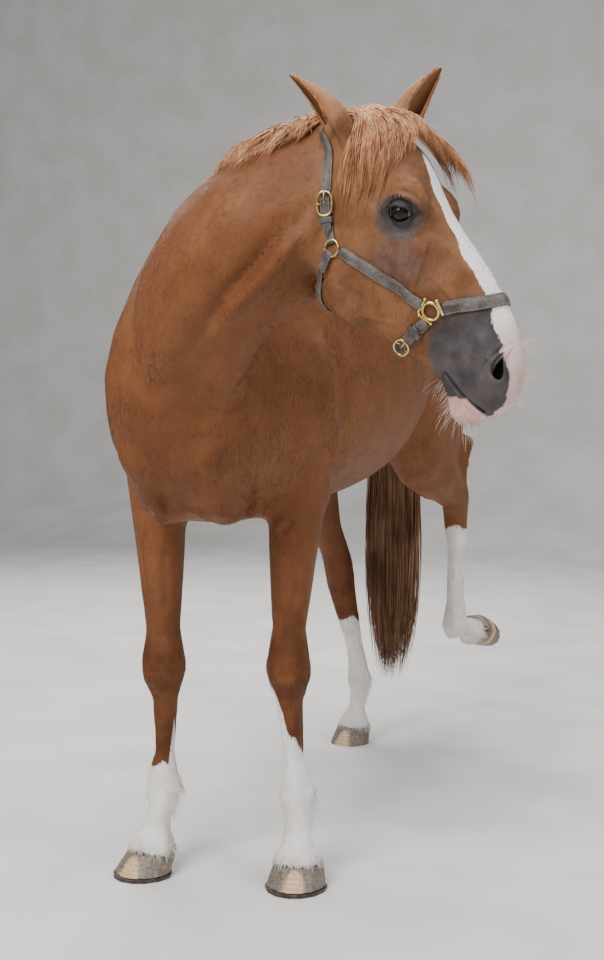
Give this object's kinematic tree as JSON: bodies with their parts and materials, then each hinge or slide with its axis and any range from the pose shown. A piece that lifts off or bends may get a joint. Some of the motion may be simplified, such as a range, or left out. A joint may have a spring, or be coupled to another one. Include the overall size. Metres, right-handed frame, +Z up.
{
  "type": "standing horse",
  "caption": "Life-size still model of a chestnut horse with a white blaze and white legs, head turned to its left, one hind foot lifted, wearing a leather headcollar.",
  "frame": {"origin": "on the floor, under the middle of the whole model's box", "axes": "+Z up, the horse's body faces -Y, and its left side is +X"},
  "size_m": [1.0586, 1.9262, 1.6709],
  "materials": {
    "chestnut_coat": "short glossy chestnut hair over skin",
    "white_coat": "short white hair over skin",
    "muzzle_skin": "thin grey and pink skin with short hair",
    "mane_hair": "long light copper hair",
    "hoof_horn": "grey and tan horn, finely ridged",
    "eye": "dark, wet and glossy",
    "halter_leather": "dark grey-brown stitched leather",
    "brass_fitting": "worn brass",
    "shoe_steel": "dark worn steel"
  },
  "bodies": {
    "root": {"cannon_fore_left": "white_coat", "cannon_fore_right": "white_coat", "cannon_hind_left": "white_coat", "cannon_hind_right": "white_coat", "ear_left": "chestnut_coat", "ear_right": "chestnut_coat", "eye_left": "eye", "eye_right": "eye", "forearm_left": "chestnut_coat", "forearm_right": "chestnut_coat", "forelock": "mane_hair", "gaskin_left": "chestnut_coat", "gaskin_right": "chestnut_coat", "halter_buckle_chin": "brass_fitting", "halter_buckle_crown": "brass_fitting", "halter_cheek_left": "halter_leather", "halter_cheek_right": "halter_leather", "halter_chin": "halter_leather", "halter_crown": "halter_leather", "halter_noseband": "halter_leather", "halter_ring_left": "brass_fitting", "halter_ring_right": "brass_fitting", "halter_square_left": "brass_fitting", "halter_square_right": "brass_fitting", "halter_throat": "halter_leather", "head": "chestnut_coat", "hindquarters": "chestnut_coat", "hoof_fore_left": "hoof_horn", "hoof_fore_right": "hoof_horn", "hoof_hind_left": "hoof_horn", "hoof_hind_right": "hoof_horn", "mane": "mane_hair", "muzzle": "muzzle_skin", "neck": "chestnut_coat", "pastern_fore_left": "white_coat", "pastern_fore_right": "white_coat", "pastern_hind_left": "white_coat", "pastern_hind_right": "white_coat", "shoe_fore_left": "shoe_steel", "shoe_fore_right": "shoe_steel", "tail_dock": "chestnut_coat", "tail_hair": "mane_hair", "trunk": "chestnut_coat"}
  },
  "joints": []
}
